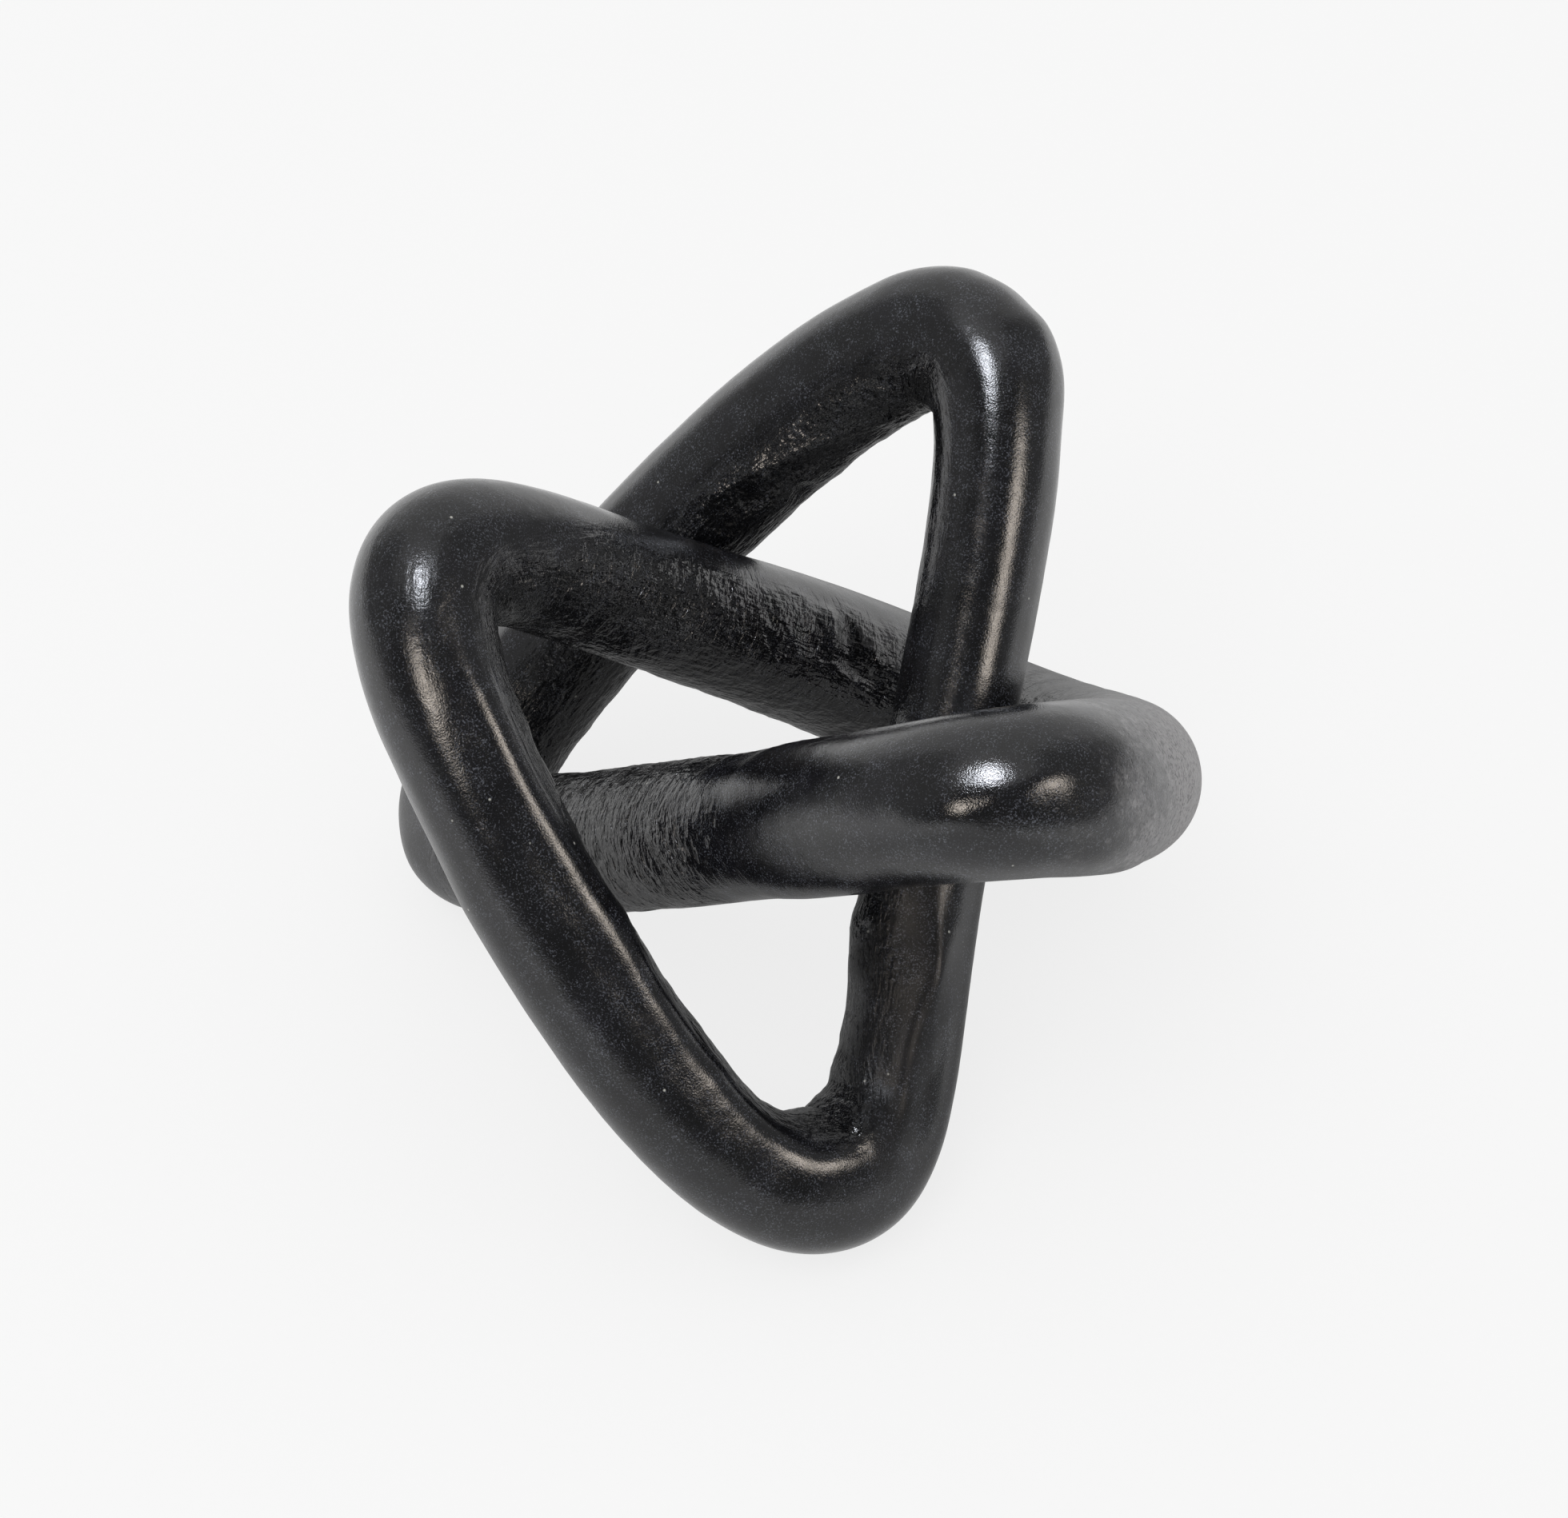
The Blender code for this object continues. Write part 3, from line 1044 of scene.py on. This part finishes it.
@dataclass(frozen=True)
class PaperFloor:
    """White background paper under the studio lights, with the faint tooth of its fibres."""

    name: str = "white_background_paper"
    paper: str = "#f2f2f2"
    tooth: str = "#ececec"
    tooth_size: float = 1.5 * MM
    seen_white: float = 0.78
    # A painted shadow and painted side light in the paper's glow, as the stone's gloss sees it.
    shadow_middle: tuple[float, float, float] = (0.01, 0.03, 0.0)
    shadow_reach: tuple[float, float] = (0.055, 0.125)
    shadow_light: float = 0.28
    side_reach: tuple[float, float] = (0.1, 0.3)
    side_light: float = 1.7

    def build(self) -> bpy.types.Material:
        """Makes the material.

        Returns:
            A node material: nearly white to the camera, with a painted shadow and side light in the gloss.
        """
        made = bpy.data.materials.new(self.name)
        made.use_nodes = True
        tree = made.node_tree
        shader = tree.nodes["Principled BSDF"]
        place = add_node(tree, "ShaderNodeTexCoord").outputs["Object"]
        links = {"Vector": place, "Scale": 1 / self.tooth_size, "Detail": 4.0}
        fibres = add_node(tree, "ShaderNodeTexNoise", links)
        tint = add_node(
            tree,
            "ShaderNodeMix",
            {"Factor": fibres, "A": linear(self.paper), "B": linear(self.tooth)},
            data_type="RGBA",
        )
        feed(tree, shader, {"Base Color": tint.outputs[2]})
        shader.inputs["Roughness"].default_value = 0.9
        shader.inputs["Specular IOR Level"].default_value = 0.1
        path = add_node(tree, "ShaderNodeLightPath").outputs
        seen = path["Is Camera Ray"]
        for ray in ("Is Glossy Ray", "Is Transmission Ray"):
            seen = add_node(tree, "ShaderNodeMath", {0: seen, 1: path[ray]}, operation="MAXIMUM")
        share = add_node(tree, "ShaderNodeMath", {0: seen, 1: self.seen_white}, operation="MULTIPLY")
        # The glow that the gloss sees holds a painted shadow of the knot and painted light at the sides.
        light = self.painted_gloss_light(tree, place)
        links = {"Factor": path["Is Camera Ray"], "A": light, "B": 1.0}
        strength = add_node(tree, "ShaderNodeMix", links, data_type="FLOAT")
        white = add_node(tree, "ShaderNodeEmission", {"Color": (1, 1, 1, 1), "Strength": strength})
        mix = add_node(tree, "ShaderNodeMixShader", {0: share, 1: shader, 2: white})
        feed(tree, tree.nodes["Material Output"], {"Surface": mix.outputs[0]})
        return made

    def painted_gloss_light(self, tree: bpy.types.NodeTree, place: bpy.types.NodeSocket) -> bpy.types.Node:
        """Paints the paper's glow in the stone's gloss: a painted shadow of the knot and painted light at the
        sides.

        Args:
            tree: the material's nodes.
            place: the places on the paper.

        Returns:
            The node with the brightness.
        """
        away = add_node(tree, "ShaderNodeVectorMath", {0: place, 1: self.shadow_middle}, operation="DISTANCE")
        near, far = self.shadow_reach
        lit = add_node(
            tree,
            "ShaderNodeMapRange",
            {"Value": away, "From Min": near, "From Max": far, "To Min": self.shadow_light},
            interpolation_type="SMOOTHSTEP",
        )
        sideways = add_node(tree, "ShaderNodeSeparateXYZ", {0: place}).outputs["X"]
        side = add_node(tree, "ShaderNodeMath", {0: sideways}, operation="ABSOLUTE")
        near, far = self.side_reach
        lit_side = add_node(
            tree,
            "ShaderNodeMapRange",
            {"Value": side, "From Min": near, "From Max": far, "To Min": 1.0, "To Max": self.side_light},
        )
        return add_node(tree, "ShaderNodeMath", {0: lit, 1: lit_side}, operation="MULTIPLY")


# Sub-assemblies


@dataclass
class CarvedKnot:
    """The carved stone, with its ground feet and its tool marks."""

    ground_off: float = 1.0 * MM
    lift: float = 1.5 * MM
    foot_ease: float = 0.25 * MM
    wave: tuple[float, float] = (13 * MM, 0.16 * MM)
    lump: tuple[float, float] = (4.5 * MM, 0.5 * MM)
    nick: tuple[float, float] = (1.9 * MM, 0.22 * MM)
    nick_stretch: float = 0.33
    foot_spare: float = 0.2 * MM
    foot_fade: float = 1.5 * MM
    seed: float = 11.0
    gouge_twists: int = 7
    finish: BlackMarble = field(default_factory=BlackMarble)

    def grind_feet(self, points: np.ndarray) -> np.ndarray:
        """Flattens what lies below the ground feet, with a slightly rounded edge.

        Args:
            points: the marked skin.

        Returns:
            The skin with its feet ground.
        """
        height = (points[..., 2] - self.lift) / self.foot_ease
        ground = points.copy()
        ground[..., 2] = self.lift + self.foot_ease * np.logaddexp(0, height)
        return ground

    def carving_offset(self, tree: bpy.types.NodeTree, start: Any) -> bpy.types.Node:
        """Works out how far the hand strayed at each point: waves all over, lumps and nicks where it rasped.

        Args:
            tree: the Geometry Nodes tree.
            start: the outputs of the tree's inputs, by name.

        Returns:
            The node with the offset.
        """
        rasped = add_node(tree, "GeometryNodeInputNamedAttribute", {"Name": "rasped"}, data_type="FLOAT")
        rope = add_node(tree, "GeometryNodeInputNamedAttribute", {"Name": "rope"}, data_type="FLOAT_VECTOR")
        last = add_node(tree, "GeometryNodeInputNamedAttribute", {"Name": "rope_last"}, data_type="FLOAT")
        place = add_node(tree, "GeometryNodeInputPosition")
        # Nicks run along the limb, about three times as long as they are wide.
        drawn_out = {
            "Vector": add_node(
                tree, "ShaderNodeVectorMath", {0: rope, 1: (1, 1, self.nick_stretch)}, operation="MULTIPLY"
            ),
            "W": add_node(tree, "ShaderNodeMath", {0: last, 1: self.nick_stretch}, operation="MULTIPLY"),
        }
        even = {"Vector": place, "W": start["Seed"]}
        total = None
        for name, detail, where in (("Wave", 1.0, even), ("Lump", 2.0, even), ("Nick", 2.0, drawn_out)):
            scale = add_node(tree, "ShaderNodeMath", {0: 1.0, 1: start[name + " Size"]}, operation="DIVIDE")
            links = {**where, "Scale": scale, "Detail": detail, "Roughness": 0.55}
            noise = add_node(tree, "ShaderNodeTexNoise", links, noise_dimensions="4D")
            centred = add_node(tree, "ShaderNodeMath", {0: noise, 1: 0.5}, operation="SUBTRACT")
            links = {0: centred, 1: start[name + " Depth"]}
            layer = add_node(tree, "ShaderNodeMath", links, operation="MULTIPLY")
            if total is None:
                total = layer
                continue
            layer = add_node(tree, "ShaderNodeMath", {0: layer, 1: rasped}, operation="MULTIPLY")
            total = add_node(tree, "ShaderNodeMath", {0: total, 1: layer}, operation="ADD")
        # A centred noise swings by half of its depth, so it is doubled. The ground feet stay flat.
        doubled = add_node(tree, "ShaderNodeMath", {0: total, 1: 2.0}, operation="MULTIPLY")
        level = add_node(tree, "ShaderNodeSeparateXYZ", {0: place}).outputs["Z"]
        above = add_node(tree, "ShaderNodeMath", {0: level, 1: start["Flat Below"]}, operation="SUBTRACT")
        free = add_node(tree, "ShaderNodeMapRange", {"Value": above, "From Max": self.foot_fade})
        cut = add_node(tree, "ShaderNodeMath", {0: doubled, 1: free}, operation="MULTIPLY")
        normal = add_node(tree, "GeometryNodeInputNormal")
        return add_node(tree, "ShaderNodeVectorMath", {0: normal, "Scale": cut}, operation="SCALE")

    def chisel(self, stone: bpy.types.Object, marble: bpy.types.Material) -> bpy.types.Object:
        """Cuts the hand's unevenness into the stone with Geometry Nodes.

        Args:
            stone: the closed stone with its attributes.
            marble: its finish.

        Returns:
            The stone as a plain mesh.
        """
        tree = bpy.data.node_groups.new("hand_carving", "GeometryNodeTree")
        face = tree.interface
        face.new_socket("Geometry", in_out="OUTPUT", socket_type="NodeSocketGeometry")
        face.new_socket("Geometry", in_out="INPUT", socket_type="NodeSocketGeometry")
        sizes = {
            "Wave Size": self.wave[0],
            "Wave Depth": self.wave[1],
            "Lump Size": self.lump[0],
            "Lump Depth": self.lump[1],
            "Nick Size": self.nick[0],
            "Nick Depth": self.nick[1],
            "Flat Below": self.lift + self.foot_spare,
            "Seed": self.seed,
        }
        keys = {
            name: face.new_socket(name, in_out="INPUT", socket_type="NodeSocketFloat").identifier
            for name in sizes
        }
        start = add_node(tree, "NodeGroupInput").outputs
        offset = self.carving_offset(tree, start)
        moved = add_node(tree, "GeometryNodeSetPosition", {"Geometry": start["Geometry"], "Offset": offset})
        real = add_node(tree, "GeometryNodeRealizeInstances", {"Geometry": moved})
        dressed = add_node(tree, "GeometryNodeSetMaterial", {"Geometry": real, "Material": marble})
        add_node(tree, "NodeGroupOutput", {0: dressed})
        modifier = stone.modifiers.new("hand_carving", "NODES")
        modifier.node_group = tree
        for name, value in sizes.items():
            modifier[keys[name]] = value
        return bake_modifiers(stone)

    def build(self) -> bpy.types.Object:
        """Builds the stone.

        Returns:
            The stone as one closed mesh with its finish.
        """
        skin = RopeSkin(SolidCore(*RopePath().guide()))
        points = skin.build()
        shift = skin.shift_to_frame(points, self.ground_off, self.lift)
        points = points + shift
        middles = skin.middles + shift
        grid = RopeGrid(middles, skin.sides)
        marked = points + skin_normals(points, middles) * grid.relief(MARKS)[..., None]
        ground = self.grind_feet(marked)
        mesh = bpy.data.meshes.new("marble_knot_carved")
        mesh.from_pydata(ground.reshape(-1, 3).tolist(), [], self.faces(ground, middles).tolist())
        mesh.shade_smooth()
        for name, share in (
            ("rasped", grid.inward() + grid.share(RASPED_PATCHES)),
            ("gouged", grid.share(GOUGED_PATCHES)),
            ("dull", grid.share(DULL_PATCHES)),
            # The pale grey share holds dusting and a painted sheen of light together.
            ("dust_and_sheen", grid.share(DUST_AND_SHEEN_PATCHES)),
        ):
            store(mesh, name, np.clip(share, 0, 1).ravel())
        store(mesh, "rope", grid.closed_places())
        store(mesh, "twist", grid.closed_places(self.gouge_twists))
        store(mesh, "rope_last", grid.closed_last())
        stone = add_object("marble_knot_carved", mesh)
        marble = self.finish.build()
        mesh.materials.append(marble)
        stone = self.chisel(stone, marble)
        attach(stone, ROOT)
        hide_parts("marble_knot")
        return stone

    @staticmethod
    def faces(points: np.ndarray, middles: np.ndarray) -> np.ndarray:
        """Joins the rings of a skin with faces that look outwards.

        Args:
            points: the skin, ring by ring.
            middles: the middle of each ring.

        Returns:
            The numbers of each face's four points.
        """
        rings, sides = points.shape[:2]
        number = np.arange(rings * sides).reshape(rings, sides)
        beside, following = np.roll(number, -1, axis=1), np.roll(number, -1, axis=0)
        faces = np.stack((number, beside, np.roll(beside, -1, axis=0), following), axis=-1).reshape(-1, 4)
        around = points[0, 1] - points[0, 0]
        along = points[1, 0] - points[0, 0]
        looks_inwards = np.cross(around, along) @ (points[0, 0] - middles[0]) < 0
        return faces[:, ::-1] if looks_inwards else faces


@dataclass
class FeltPads:
    """The felt dots stuck under the ground feet."""

    names: tuple[str, ...] = ("pad_foot_front", "pad_foot_left", "pad_foot_right")
    bevel: float = 0.2 * MM
    bevel_steps: int = 4
    glue: float = 0.3 * MM
    sides: int = 48
    finish: PressedFelt = field(default_factory=PressedFelt)

    def build(self) -> list[bpy.types.Object]:
        """Builds one dot over each of the three solid ones."""
        felt = self.finish.build()
        return [self.build_dot(name, felt) for name in self.names]

    def build_dot(self, name: str, felt: bpy.types.Material) -> bpy.types.Object:
        """Builds one dot, with rounded rims, where its solid lies.

        Args:
            name: the solid that it stands for.
            felt: its finish.

        Returns:
            The dot.
        """
        low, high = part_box(name)
        middle = (low + high) / 2
        radius = (high.x - low.x) / 2
        top = high.z + self.glue / 2
        turns = [math.pi / 2 * step / self.bevel_steps for step in range(self.bevel_steps + 1)]
        rim = [(self.bevel * (1 - math.sin(turn)), self.bevel * (1 - math.cos(turn))) for turn in turns]
        outline = [(radius - inwards, low.z + upwards) for inwards, upwards in rim]
        outline += [(radius - inwards, top - downwards) for downwards, inwards in rim]
        angles = [math.tau * side / self.sides for side in range(self.sides)]
        points = [
            (middle.x + distance * math.cos(angle), middle.y + distance * math.sin(angle), height)
            for distance, height in outline
            for angle in angles
        ]
        number = np.arange(len(points)).reshape(-1, self.sides)
        beside = np.roll(number, -1, axis=1)
        walls = np.stack((number[:-1], beside[:-1], beside[1:], number[1:]), axis=-1).reshape(-1, 4)
        caps = [number[0, ::-1].tolist(), number[-1].tolist()]
        mesh = bpy.data.meshes.new(name + "_felt")
        mesh.from_pydata(points, [], walls.tolist() + caps)
        mesh.shade_smooth()
        dot = add_object(name + "_felt", mesh)
        mesh.materials.append(felt)
        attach(dot, ROOT)
        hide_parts(name)
        return dot


# The studio


class Lamp(NamedTuple):
    """A round soft lamp: its place and width in m, how bright its face looks, and its colour."""

    name: str
    place: tuple[float, float, float]
    width: float
    brightness: float
    colour: str


GLOSS_LAMPS = (
    Lamp("high_cool_lamp", (-0.050, -0.095, 0.440), 0.085, 42.0, "#f2f6ff"),
    Lamp("front_warm_lamp", (-0.110, -0.270, 0.280), 0.10, 11.0, "#fff3e6"),
    Lamp("side_warm_lamp", (0.595, -0.465, 0.540), 0.29, 8.5, "#fff3e6"),
)

SOFT_LAMP = Lamp("soft_overhead_lamp", (-0.35, -0.45, 1.1), 0.7, 1.5, "#ffffff")


class RoomPart(NamedTuple):
    """A part of the room as the gloss sees it.

    azimuth and elevation give the angles, in degrees, where it begins, is full, is still full and ends.
    Azimuth is counted from the front, to the right. brightness is 1 for a white wall.
    """

    name: str
    azimuth: tuple[float, float, float, float]
    elevation: tuple[float, float, float, float]
    brightness: float


ROOM_PARTS = (
    RoomPart("left_wall", (-140, -128, -60, -50), (-6, 4, 50, 62), 0.48),
    RoomPart("right_wall", (50, 62, 124, 145), (-8, 2, 60, 80), 0.4),
    RoomPart("lit_ceiling", (-170, -140, -20, 10), (58, 70, 100, 110), 1.2),
    RoomPart("dark_room", (-66, -54, 56, 68), (-1, 10, 62, 70), 0.18),
)


@dataclass
class Studio:
    """The floor, the surroundings, the lamps and the camera.

    Lengths are in m, lens and sensor in mm. The camera's values come from the same fit as the rope's path.
    """

    picture_width: int = 1960
    pixels_per_length: float = 4158.46
    sensor: float = 36.0
    camera_place: tuple[float, float, float] = (0.00056, -0.35030, 0.45462)
    camera_elevation: float = 49.166
    camera_range: tuple[float, float] = (0.01, 20.0)
    wall_light: float = 0.72
    wall_gloss: float = 1.0
    wall_seen: float = 0.94
    floor_size: float = 6.0
    aim: tuple[float, float, float] = (0.0, 0.0, 0.05)

    def build(self) -> None:
        """Builds the whole studio."""
        self.floor()
        self.surroundings()
        for lamp in GLOSS_LAMPS:
            self.lamp(lamp, True)
        self.lamp(SOFT_LAMP, False)
        self.camera()
        bpy.context.scene.view_settings.view_transform = "Standard"

    def floor(self) -> None:
        """Lays the background paper."""
        half = self.floor_size / 2
        corners = [(-half, -half, 0), (half, -half, 0), (half, half, 0), (-half, half, 0)]
        mesh = bpy.data.meshes.new("background_paper")
        mesh.from_pydata(corners, [], [(0, 1, 2, 3)])
        paper = add_object("background_paper", mesh)
        mesh.materials.append(PaperFloor().build())

    def gloss_light(self, tree: bpy.types.NodeTree) -> Any:
        """Sets how bright the room looks in the stone's gloss, part by part.

        Args:
            tree: the world's nodes.

        Returns:
            The node with the brightness.
        """
        way = add_node(tree, "ShaderNodeTexCoord").outputs["Generated"]
        parts = add_node(tree, "ShaderNodeSeparateXYZ", {0: way}).outputs
        front = add_node(tree, "ShaderNodeMath", {0: parts["Y"], 1: -1.0}, operation="MULTIPLY")
        azimuth = add_node(tree, "ShaderNodeMath", {0: parts["X"], 1: front}, operation="ARCTAN2")
        elevation = add_node(tree, "ShaderNodeMath", {0: parts["Z"]}, operation="ARCSINE")
        light = self.wall_gloss
        for part in ROOM_PARTS:
            share = None
            for angle, edges in ((azimuth, part.azimuth), (elevation, part.elevation)):
                for start, end in (edges[:2], edges[3:1:-1]):
                    edge = add_node(
                        tree,
                        "ShaderNodeMapRange",
                        {"Value": angle, "From Min": math.radians(start), "From Max": math.radians(end)},
                        interpolation_type="SMOOTHSTEP",
                    )
                    if share is not None:
                        edge = add_node(tree, "ShaderNodeMath", {0: share, 1: edge}, operation="MULTIPLY")
                    share = edge
            links = {"Factor": share, "A": light, "B": part.brightness}
            light = add_node(tree, "ShaderNodeMix", links, data_type="FLOAT")
        return light

    def surroundings(self) -> None:
        """Sets white walls, and the darker parts of the room that show in the stone's gloss."""
        world = bpy.data.worlds.new("studio")
        world.use_nodes = True
        bpy.context.scene.world = world
        tree = world.node_tree
        tree.nodes.clear()
        walls, gloss, seen = (
            add_node(tree, "ShaderNodeBackground", {"Color": (1, 1, 1, 1), "Strength": strength})
            for strength in (self.wall_light, self.gloss_light(tree), self.wall_seen)
        )
        path = add_node(tree, "ShaderNodeLightPath").outputs
        links = {0: path["Is Glossy Ray"], 1: path["Is Transmission Ray"]}
        shiny = add_node(tree, "ShaderNodeMath", links, operation="MAXIMUM")
        lit = add_node(tree, "ShaderNodeMixShader", {0: shiny, 1: walls, 2: gloss})
        both = add_node(tree, "ShaderNodeMixShader", {0: path["Is Camera Ray"], 1: lit, 2: seen})
        add_node(tree, "ShaderNodeOutputWorld", {"Surface": both})

    def lamp(self, lamp: Lamp, is_gloss: bool) -> None:
        """Hangs one lamp, turned to the knot.

        Args:
            lamp: its place and light.
            is_gloss: whether it only shows in the gloss, or only lights the scene.
        """
        light = bpy.data.lights.new(lamp.name, "AREA")
        light.shape = "DISK"
        light.size = lamp.width
        light.energy = lamp.brightness * math.pi * lamp.width**2
        light.color = linear(lamp.colour)[:3]
        holder = bpy.data.objects.new(lamp.name, light)
        holder.location = lamp.place
        holder.rotation_euler = (Vector(self.aim) - Vector(lamp.place)).to_track_quat("-Z", "Y").to_euler()
        holder.visible_camera = False
        holder.visible_diffuse = not is_gloss
        holder.visible_glossy = is_gloss
        bpy.context.scene.collection.objects.link(holder)

    def camera(self) -> None:
        """Sets the camera at the photograph's viewing angle."""
        data = bpy.data.cameras.new("camera")
        data.sensor_width = self.sensor
        data.sensor_fit = "HORIZONTAL"
        data.lens = self.pixels_per_length / self.picture_width * self.sensor
        data.clip_start, data.clip_end = self.camera_range
        holder = bpy.data.objects.new("camera", data)
        holder.location = self.camera_place
        holder.rotation_euler = (math.radians(90 - self.camera_elevation), 0, 0)
        bpy.context.scene.collection.objects.link(holder)
        bpy.context.scene.camera = holder


def main() -> None:
    """Loads the frame and builds every piece in order."""
    logging.basicConfig(level=logging.INFO, format="%(name)s: %(message)s")
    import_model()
    stone = CarvedKnot().build()
    log.info("stone: %d faces", len(stone.data.polygons))
    for dot in FeltPads().build():
        log.info("pad: %s", dot.name)
    Studio().build()
    log.info("studio: %d lamps", len(GLOSS_LAMPS) + 1)


if __name__ == "__main__":
    main()
